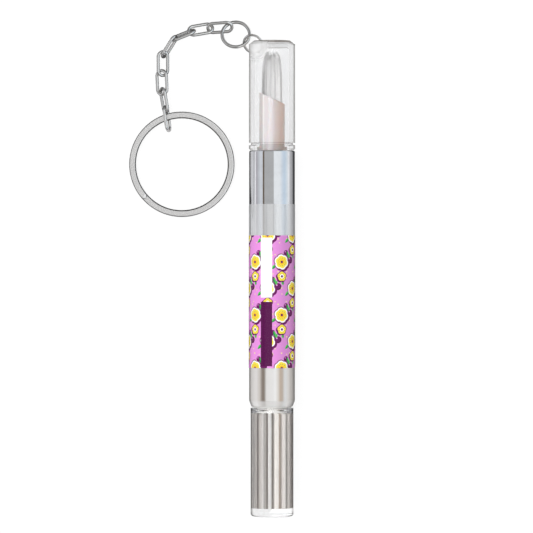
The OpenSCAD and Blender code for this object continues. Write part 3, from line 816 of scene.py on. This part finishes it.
# Split ring: two coils of flat wire with rolled corners. Angles are in degrees.
SPLIT_R, SPLIT_W, COIL, COIL_GAP = 14.0, 1.8, 0.72, 0.04
CORNER_WIDE, CORNER_HIGH, CORNER_STEPS = 0.42, 0.3, 6
# Painted shade: the wire's outer and inner corners take darker plating this wide across it, and its sides
# stay bare
OUTER_EDGE, INNER_EDGE, SIDE_EDGE = 0.2, 0.28, 0.03
SPLIT_TILT, SPLIT_HEADING, RAMP_HEADING, SPLIT_STEP = 2.1, 468, 150, 2.5
RAMP_START, RAMP_SWEEP, RAMP_CLEAR = 330, 25, 5
END_STEPS, END_START = 1.6, 0.6
SPLIT_CREASE = math.radians(60)


def wire_section():
    """The wire's outline: across the ring's width, and along its axis."""
    wide, high = SPLIT_W / 2 - CORNER_WIDE, COIL / 2 - CORNER_HIGH
    points = []
    for side, level, start in ((1, 1, 0), (-1, 1, 90), (-1, -1, 180), (1, -1, 270)):
        for k in range(CORNER_STEPS + 1):
            a = math.radians(start + 90 / CORNER_STEPS * k)
            points.append((side * wide + CORNER_WIDE * math.cos(a), level * high + CORNER_HIGH * math.sin(a)))
    return points


def edge_kind(u):
    """The material at u across the wire: 2 on its inner corners and 1 on its outer ones, both painted shade,
    and 0 elsewhere.
    """
    half = SPLIT_W / 2
    if abs(u) >= half - SIDE_EDGE:
        return 0
    if u < INNER_EDGE - half:
        return 2
    return int(u > half - OUTER_EDGE)


def split_ring():
    lo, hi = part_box("split_ring")
    middle = (lo + hi) / 2 / MM
    section = wire_section()
    count, rise = len(section), COIL + COIL_GAP
    turn = (Euler((0, math.radians(-SPLIT_TILT), math.radians(SPLIT_HEADING))).to_matrix()
            @ Matrix.Rotation(math.radians(RAMP_HEADING), 3, "Z"))
    steps = int((360 + RAMP_START - RAMP_CLEAR) / SPLIT_STEP)
    verts = []
    for k in range(steps + 1):
        angle = k * SPLIT_STEP
        part = min(max((angle - RAMP_START) / RAMP_SWEEP, 0), 1)
        up = rise * (0.5 - 0.5 * math.cos(math.pi * part)) - rise / 2
        # The wire's ends are eased
        ease = min(1.0, (min(k, steps - k) + END_START) / END_STEPS)
        a = math.radians(angle)
        for u, v in section:
            out = SPLIT_R - SPLIT_W / 2 + u * ease
            verts.append(tuple(turn @ Vector((out * math.cos(a), out * math.sin(a), up + v * ease)) + middle))
    faces = tube(0, steps + 1, count)
    piece = mesh_piece(
        "split_ring_wire", verts, faces, "split_steel", "split_ring", "split_steel", "split_ring")
    # The wire's corners take painted shade
    for name in ("split_outer_painted_shade", "split_inner_painted_shade"):
        piece.data.materials.append(MATERIALS[name])
    kinds = [edge_kind((section[k][0] + section[(k + 1) % count][0]) / 2) for k in range(count)]
    piece.data.polygons.foreach_set("material_index", kinds * steps + [0, 0])
    piece.data.set_sharp_from_angle(angle=SPLIT_CREASE)


for entry in frame["record"]["subparts"]:
    cad = frame["nodes"][entry["node"]]
    cad.data.materials.clear()
    cad.data.materials.append(MATERIALS[entry["material_slot"]])

bristles()
threaded_rod()
flute_lining()
split_ring()


# Floor and cards. Lengths are in mm.

FLOOR_DROP, FLOOR_HALF = 0.02, 3000
PAPER, FLOOR_GLOW, SEE_THROUGH = (0.52, 0.52, 0.52, 1), 0.56, 0.75
FLOOR_Z = CAD_BOX[0].z / MM - FLOOR_DROP
RAY_KINDS = ("camera", "diffuse", "glossy", "transmission", "volume_scatter", "shadow")
# Cards beside the pen that only gloss shows: from and to in x, from and to in y, and how light
GLOSS_CARD_RISE = 0.04
GLOSS_CARDS = {
    "card_left": (-14.3, -6.2, -20, 170, 0.05),
    "card_pale_left": (-160, -14.3, -20, 107, 0.66),
    "card_chain": (-70, -14.3, 107, 170, 0.1),
    "card_right": (6.2, 16.7, -20, 170, 0.07),
    "card_grey": (16.7, 40, -20, 170, 0.42),
    "card_pale_right": (40, 160, -20, 170, 0.7),
}
# A card under the knob that only what is seen through clear plastic shows
KNOB_CARD_RISE = 0.06
KNOB_CARD = (-24, 24, 2.4, 30.6, 0.32)


def sheet(name, x0, x1, y0, y1, rise, material):
    """A flat sheet at a rise over the floor, which isn't part of the object."""
    corners = ((x0, y0), (x1, y0), (x1, y1), (x0, y1))
    mesh = bpy.data.meshes.new(name)
    mesh.from_pydata([(x * MM, y * MM, (FLOOR_Z + rise) * MM) for x, y in corners], [], [(0, 1, 2, 3)])
    made = bpy.data.objects.new(name, mesh)
    bpy.context.scene.collection.objects.link(made)
    mesh.materials.append(material)
    return made


def floor_material():
    """White paper that keeps a soft shadow.

    Rays from the camera and through clear pieces pass it in part, so the keychain still shows where its
    rings swing below the floor.
    """
    g = Graph("floor")
    seen = g.rays("Is Camera Ray", "Is Glossy Ray", "Is Transmission Ray")
    paper = g.out("BsdfDiffuse", {"Color": PAPER})
    glow = g.out("Emission", {"Color": BRIGHT, "Strength": g.times(seen, FLOOR_GLOW)})
    both = g.out("AddShader", {0: paper, 1: glow})
    share = g.times(g.rays("Is Camera Ray", "Is Transmission Ray"), SEE_THROUGH)
    return g.finish(g.blend(share, both, g.out("BsdfTransparent")))


def card(name, x0, x1, y0, y1, level, rise, shown_to):
    """A card that glows, which only one kind of ray sees."""
    g = Graph(name)
    glow = g.out("Emission", {"Color": (level, level, level * 1.03, 1), "Strength": 1.0})
    made = sheet(name, x0, x1, y0, y1, rise, g.finish(glow))
    for kind in RAY_KINDS:
        setattr(made, "visible_" + kind, kind == shown_to)


sheet("floor", -FLOOR_HALF, FLOOR_HALF, -FLOOR_HALF, FLOOR_HALF, 0, floor_material())
for card_name, row in GLOSS_CARDS.items():
    card(card_name, *row, GLOSS_CARD_RISE, "glossy")
card("card_knob", *KNOB_CARD, KNOB_CARD_RISE, "transmission")


# Light and camera. Lengths are in metres.

PLAIN_LIGHT = 0.62
ENDS_FROM, ENDS_TO, ENDS_MIDDLE, ENDS_DIM = 0.35, 0.8, 1.15, 0.4
LAMP_PLACE, LAMP_AIM, LAMP_SIZE, LAMP_POWER = Vector((-0.18, 0.12, 0.7)), Vector((0, 0.06, 0)), 0.5, 3.4
# The camera looks straight down. FIELD is how much of the table it takes in.
VIEW_X, VIEW_Y, FIELD, LENS_MM, SENSOR_MM = -0.00146, 0.0662, 0.1412, 300.0, 36.0
CLIP_NEAR, CLIP_FAR = 0.01, 20


def world():
    """A plain light, with strips that only gloss and clear plastic show, and white to the camera."""
    made = bpy.data.worlds.new("studio")
    made.use_nodes = True
    bpy.context.scene.world = made
    g = Graph(tree=made.node_tree)
    way = g.node("SeparateXYZ", {0: g.node("TexCoord").outputs["Generated"]}).outputs
    angle = g.math("MULTIPLY_ADD", g.math("ARCTAN2", way[0], way[2]), 1 / TAU, 0.5)
    # Strips are dimmer towards the pen's ends
    ends = g.between(g.math("ABSOLUTE", way[1]), ENDS_FROM, ENDS_TO, ENDS_MIDDLE, ENDS_DIM)
    gloss = g.out("Background", {"Color": g.ramp(angle, stops(STRIPS, 360)), "Strength": ends})
    clear = g.out("Background", {"Color": g.ramp(angle, stops(CLEAR_STRIPS, 360)), "Strength": 1.0})
    plain = g.out("Background", {"Color": BRIGHT, "Strength": PLAIN_LIGHT})
    seen = g.out("Background", {"Color": BRIGHT, "Strength": 1.0})
    light = g.blend(g.rays("Is Glossy Ray"), plain, gloss)
    light = g.blend(g.rays("Is Transmission Ray"), light, clear)
    light = g.blend(g.rays("Is Camera Ray"), light, seen)
    g.node("OutputWorld", {"Surface": light})


def lamp():
    """A soft square lamp overhead, which gloss doesn't show."""
    data = bpy.data.lights.new("overhead", "AREA")
    data.shape, data.size, data.size_y = "RECTANGLE", LAMP_SIZE, LAMP_SIZE
    data.energy = LAMP_POWER
    made = bpy.data.objects.new("overhead", data)
    made.location = LAMP_PLACE
    made.rotation_euler = (LAMP_AIM - LAMP_PLACE).to_track_quat("-Z", "Y").to_euler()
    made.visible_glossy = False
    bpy.context.scene.collection.objects.link(made)


def camera():
    data = bpy.data.cameras.new("camera")
    data.lens, data.sensor_width = LENS_MM, SENSOR_MM
    data.clip_start, data.clip_end = CLIP_NEAR, CLIP_FAR
    made = bpy.data.objects.new("camera", data)
    made.location = (VIEW_X, VIEW_Y, FIELD * LENS_MM / SENSOR_MM)
    bpy.context.scene.collection.objects.link(made)
    bpy.context.scene.camera = made


world()
lamp()
camera()
bpy.context.scene.view_settings.view_transform = "Standard"
